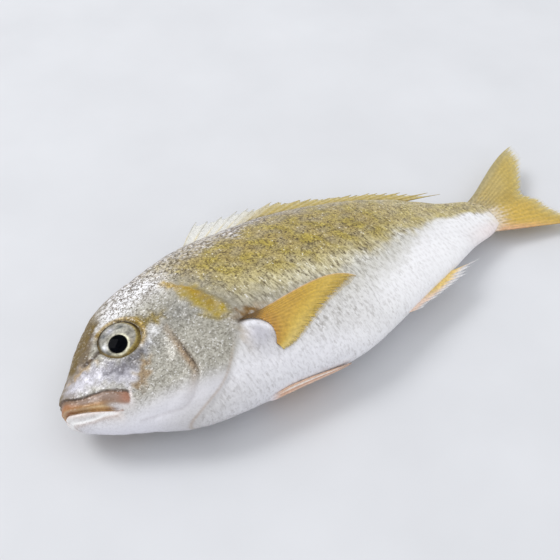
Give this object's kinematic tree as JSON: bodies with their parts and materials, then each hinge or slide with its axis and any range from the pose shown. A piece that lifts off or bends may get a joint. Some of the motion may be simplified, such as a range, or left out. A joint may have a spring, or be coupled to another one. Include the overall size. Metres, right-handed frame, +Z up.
{
  "type": "whole raw fish",
  "caption": "Whole raw sea bream lying on its side, with gill covers, folded fins and a forked tail fin.",
  "frame": {"origin": "on the slab, under the middle of the whole fish, fins included", "axes": "+X towards the tail fin, +Y towards the fish's back, +Z up, out of its left flank"},
  "size_m": [0.3175, 0.1216, 0.0431],
  "materials": {
    "skin": "wet scaly skin, silver below and olive yellow above",
    "fin": "thin wet fin skin over fine rays, yellow",
    "eye": "clear wet eye with a silver iris and a black pupil"
  },
  "bodies": {
    "root": {"fish": "skin"}
  },
  "joints": []
}
